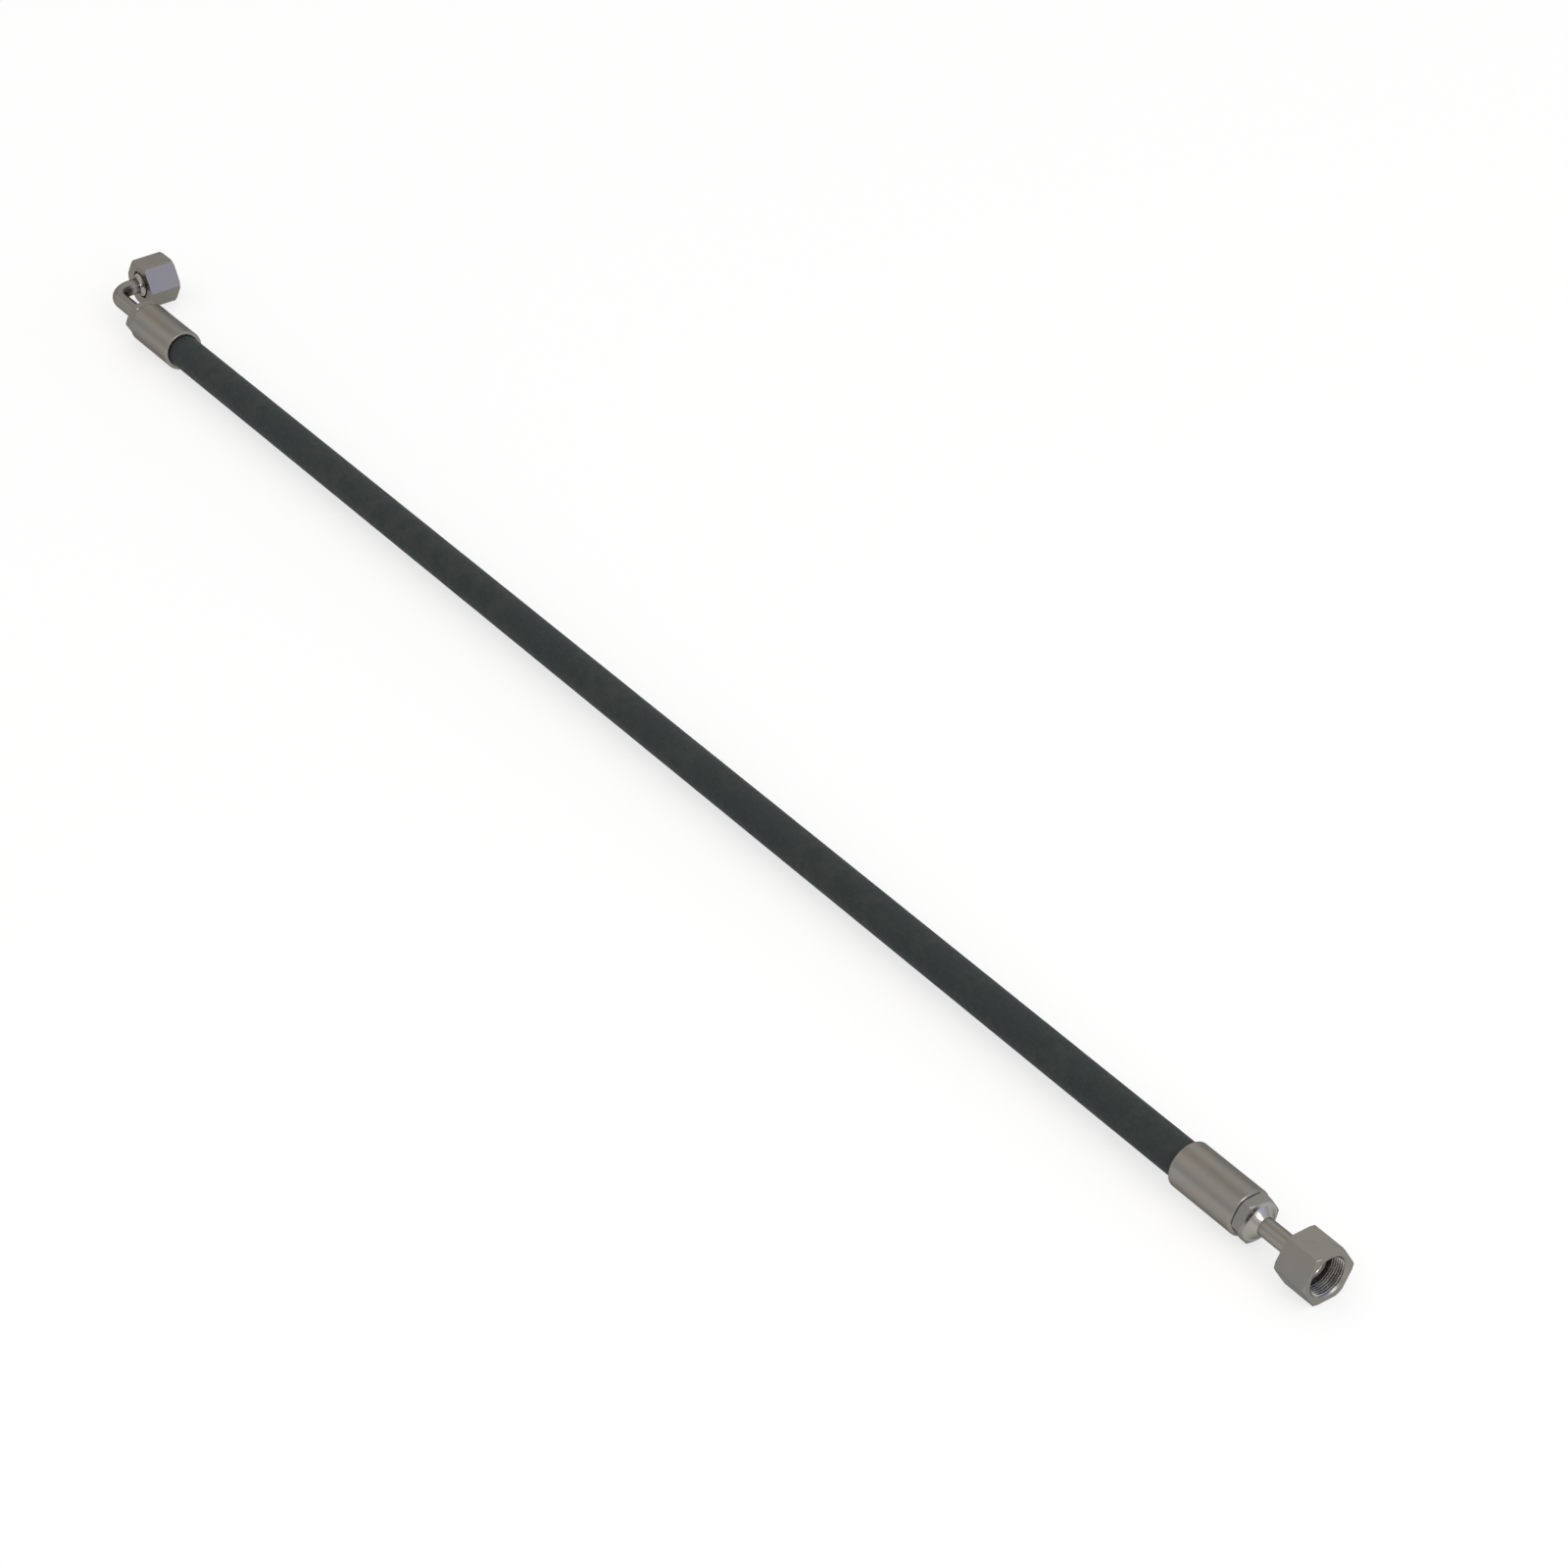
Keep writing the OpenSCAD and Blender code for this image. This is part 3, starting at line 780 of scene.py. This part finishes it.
def finish_bore(nut, start, along):
    """Gives faces inside the nut a painted bright finish on crests and bore, and a darker,
    machined one on flanks, as painted light and shade along the thread.
    """
    mouth_end, depth, widest, crest_limit = 0.1, 15.3, 12.3, 0.35
    outside, bright, machined = range(3)
    nut.data.materials.append(bore_painted_bright)
    nut.data.materials.append(machined_steel)
    for face in nut.data.polygons:
        away = face.center - start
        reach = away.dot(along)
        radius = (away - along * reach).length
        inside = -depth * MM < reach < -mouth_end * MM and radius < widest * MM
        crest = abs(face.normal.dot(along)) < crest_limit
        # Crests and bore take the painted bright copy, and flanks take the painted darker one.
        face.material_index = (bright if crest else machined) if inside else outside


straight_nut = swivel_nut("straight_nut_hexagon")
elbow_nut = copy_of(straight_nut, "elbow_nut_hexagon")
seat(straight_nut, straight_outlet)
seat(elbow_nut, elbow_outlet, heading=90)
dress(straight_nut, plated_steel, "plated_steel", "straight_nut", "straight_swivel_nut")
finish_bore(straight_nut, straight_outlet, Vector((1, 0, 0)))
dress(elbow_nut, plated_steel, "plated_steel", "elbow_nut", "elbow_swivel_nut")
finish_bore(elbow_nut, elbow_outlet, Vector((0, 1, 0)))
print("nut spans in mm", [round(v * 1000, 2) for v in straight_nut.dimensions])

# %% [markdown]
# ## Rings, seals and the layers inside
# The O-rings and thrust wires are true rings in the frame already, and the layers inside the
# hose only show at their cut ends, so the CAD nodes stay and get their finishes. Drawn spring
# wire is darker and finer than plate, seal rubber is smooth and black, and the braids show
# bundles of bright wire that cross round the hose.

# %% Finishes for the frame's own parts
def make_spring_wire():
    wire = Recipe("drawn_spring_wire")
    wire.set(Metallic=1.0)
    tone = wire.ramp(wire.noise(4, 3.0), 0.35, 0.65)
    wire.feed("Base Color", wire.blend(tone, (0.22, 0.21, 0.19), (0.27, 0.255, 0.23)))
    wire.feed("Roughness", wire.ramp(wire.noise(0.8, 3.0), 0.3, 0.7, 0.20, 0.34))
    wire.bump((wire.noise(0.3, 2.0), 0.004))
    return wire.material


def make_braid_wire():
    braid = Recipe("braided_steel_wire")
    braid.set(Metallic=1.0)
    bundles = crossing_threads(braid, 16, 12.0)
    strands = crossing_threads(braid, 96, 2.0)
    braid.feed("Base Color", braid.blend(bundles, (0.16, 0.14, 0.10), (0.42, 0.38, 0.27)))
    braid.feed("Roughness", braid.ramp(strands, 0.0, 1.0, 0.25, 0.45))
    braid.bump((bundles, 0.30), (strands, 0.08))
    return braid.material


def make_plain_rubber(name, dark, light, low_rough, high_rough, grain_mm):
    rubber = Recipe(name)
    rubber.set(Metallic=0.0, Specular_IOR_Level=0.4)
    cloud = rubber.ramp(rubber.noise(5, 3.0), 0.35, 0.65)
    rubber.feed("Base Color", rubber.blend(cloud, dark, light))
    rubber.feed("Roughness", rubber.ramp(rubber.noise(1.2, 3.0), 0.3, 0.7, low_rough, high_rough))
    rubber.bump((rubber.noise(grain_mm, 3.0), 0.012))
    return rubber.material


spring_wire = make_spring_wire()
braid_wire = make_braid_wire()
tube_rubber = make_plain_rubber(
    "inner_tube_rubber", dark=(0.012, 0.012, 0.012), light=(0.020, 0.020, 0.019),
    low_rough=0.45, high_rough=0.6, grain_mm=0.5)
seal_rubber = make_plain_rubber(
    "seal_rubber", dark=(0.010, 0.010, 0.011), light=(0.016, 0.016, 0.017),
    low_rough=0.28, high_rough=0.40, grain_mm=0.25)

carried_over = {
    "hose_inner_tube": tube_rubber,
    "inner_wire_braid": braid_wire,
    "hose_interlayer": tube_rubber,
    "outer_wire_braid": braid_wire,
    "straight_o_ring": seal_rubber,
    "elbow_o_ring": seal_rubber,
    "straight_thrust_ring": spring_wire,
    "elbow_thrust_ring": spring_wire,
}
for node_name, finish in carried_over.items():
    slots = frame["nodes"][node_name].data.materials
    slots.clear()
    slots.append(finish)
    print(node_name, "is finished with", finish.name)

# %% [markdown]
# ## The floor
# The hose lies on a pale sheet. The object rests on its nuts' flats, so the sheet is at the
# bottom of the frame's box. Seen directly or in the steel it glows slightly towards white, and it
# still darkens under the object, so the contact shadow stays. To soft bounced light it
# is an ordinary grey surface, which keeps the undersides of the parts from looking lit.

# %% The floor sheet
def make_floor_finish():
    bounced_grey, shaded_grey, glow_strength = 0.45, 0.36, 0.68
    sheet = bpy.data.materials.new("white_floor_sheet")
    sheet.use_nodes = True
    sheet.node_tree.nodes.clear()
    graph = Graph(sheet.node_tree)
    path = graph.node("ShaderNodeLightPath").outputs
    mirrored = graph.math("MAXIMUM", path["Is Glossy Ray"], path["Is Transmission Ray"])
    seen = graph.math("MAXIMUM", path["Is Camera Ray"], mirrored)
    plain, shaded = [
        graph.node("ShaderNodeBsdfDiffuse", {"Color": (grey, grey, grey, 1)}).outputs[0]
        for grey in (bounced_grey, shaded_grey)]
    glow = graph.node("ShaderNodeEmission", {"Strength": glow_strength}).outputs[0]
    both = graph.node("ShaderNodeAddShader", {0: shaded, 1: glow}).outputs[0]
    mix = graph.node("ShaderNodeMixShader", {0: seen, 1: plain, 2: both}).outputs[0]
    graph.node("ShaderNodeOutputMaterial", {"Surface": mix})
    return sheet


pick_only()
bpy.ops.mesh.primitive_plane_add(size=16.0, location=(look_at.x, look_at.y, cad_low.z - 0.0001))
floor = name_piece("floor_sheet")
bpy.ops.object.transform_apply(location=True, rotation=True, scale=True)
floor.data.materials.append(make_floor_finish())
print("floor at", round(cad_low.z * 1000, 2), "mm")

# %% [markdown]
# ## The studio
# Bright metal shows the room around it, so a studio for it is mostly walls. Here the room is
# a soft white dome that dims towards the horizon on both sides and straight overhead. A black
# flag stands in front of the straight end, with a cool bright patch of sky above and beside it.
# Those soft steps draw the long bands along the steel. Seen directly, the room is plain white.

# %% The dome
def build_dome():
    world = bpy.data.worlds.new("studio_dome")
    bpy.context.scene.world = world
    world.use_nodes = True
    world.node_tree.nodes.clear()
    graph = Graph(world.node_tree)
    way = graph.node("ShaderNodeTexCoord").outputs["Generated"]

    def towards(direction, start, full):
        """1 inside a cone round a direction and 0 outside it, with a soft edge."""
        inputs = {0: way, 1: Vector(direction).normalized()}
        spot = graph.node("ShaderNodeVectorMath", inputs, operation="DOT_PRODUCT").outputs["Value"]
        inputs = {0: spot, 1: cos(radians(start)), 2: cos(radians(full))}
        return graph.node("ShaderNodeMapRange", inputs,
                          interpolation_type="SMOOTHSTEP").outputs[0]

    def tinted(mask, first, second):
        inputs = {0: mask, 6: first, 7: (*second, 1)}
        return graph.node("ShaderNodeMix", inputs, data_type="RGBA").outputs[2]

    axes = graph.node("ShaderNodeSeparateXYZ", {0: way}).outputs
    across, up = axes[1], axes[2]
    rim = graph.math("SQRT", graph.math("ADD", graph.math("MULTIPLY", across, across),
                                        graph.math("MULTIPLY", up, up)))
    height = graph.math("DIVIDE", up, graph.math("MAXIMUM", rim, 0.05))
    # Each step is a height, from -1 straight down to 1 straight up, and the room's colour there.
    steps = [
        (-1.00, (1.00, 1.00, 1.00)), (-0.50, (0.98, 0.98, 0.98)), (-0.17, (0.82, 0.82, 0.83)),
        (0.08, (0.71, 0.72, 0.74)), (0.30, (0.73, 0.74, 0.76)), (0.50, (0.82, 0.82, 0.84)),
        (0.77, (0.99, 0.97, 0.96)), (0.94, (0.90, 0.87, 0.84)), (1.00, (0.66, 0.63, 0.59)),
    ]
    half_height = graph.math("MULTIPLY", height, 0.5)
    ramp = graph.node("ShaderNodeValToRGB", {0: graph.math("ADD", half_height, 0.5)})
    ramp.color_ramp.interpolation = "B_SPLINE"
    stops = ramp.color_ramp.elements
    while len(stops) < len(steps):
        stops.new(0.5)
    for stop, (place, colour) in zip(stops, steps):
        stop.position = place / 2 + 0.5
        stop.color = (*colour, 1)
    flag = towards((0.965, 0.24, -0.06), 17, 9)
    sky = towards((0.84, 0.48, 0.29), 24, 8)
    lit = tinted(sky, ramp.outputs[0], (0.91, 0.95, 1.37))
    room = tinted(flag, lit, (0.03, 0.03, 0.03))
    seen = graph.node("ShaderNodeBackground", {0: (1, 1, 1, 1), 1: 1.0}).outputs[0]
    around = graph.node("ShaderNodeBackground", {0: room, 1: 1.0}).outputs[0]
    path = graph.node("ShaderNodeLightPath").outputs
    mix = graph.node("ShaderNodeMixShader", {0: path["Is Camera Ray"], 1: around, 2: seen})
    graph.node("ShaderNodeOutputWorld", {0: mix.outputs[0]})


build_dome()
print("built the studio dome")

# %% [markdown]
# ## The key light
# One square lamp stands in front of the straight end, about 30 degrees up. It adds the small
# bright glints on hollow corners and inside the mouths, and a direction to the shadow.
# It is an area lamp, because a point lamp would give a hard shadow.

# %% The key light
def add_lamp(name, direction, distance, size, power):
    pick_only()
    spot = look_at + Vector(direction).normalized() * distance
    bpy.ops.object.light_add(type="AREA", location=spot)
    lamp = bpy.context.object
    lamp.name = name
    lamp.data.name = name
    lamp.data.shape = "SQUARE"
    lamp.data.size = size
    lamp.data.energy = power
    lamp.rotation_euler = (look_at - spot).to_track_quat("-Z", "Y").to_euler()
    return lamp


key_lamp = add_lamp("key_lamp", (0.86, 0.0, 0.50), 3.2, 1.0, 16.0)
print("key lamp at", [round(v, 2) for v in key_lamp.location])

# %% [markdown]
# ## Finish
# The picture keeps plain colours: the Standard view transform maps each colour as it is.

# %% Finish
bpy.context.scene.view_settings.view_transform = "Standard"
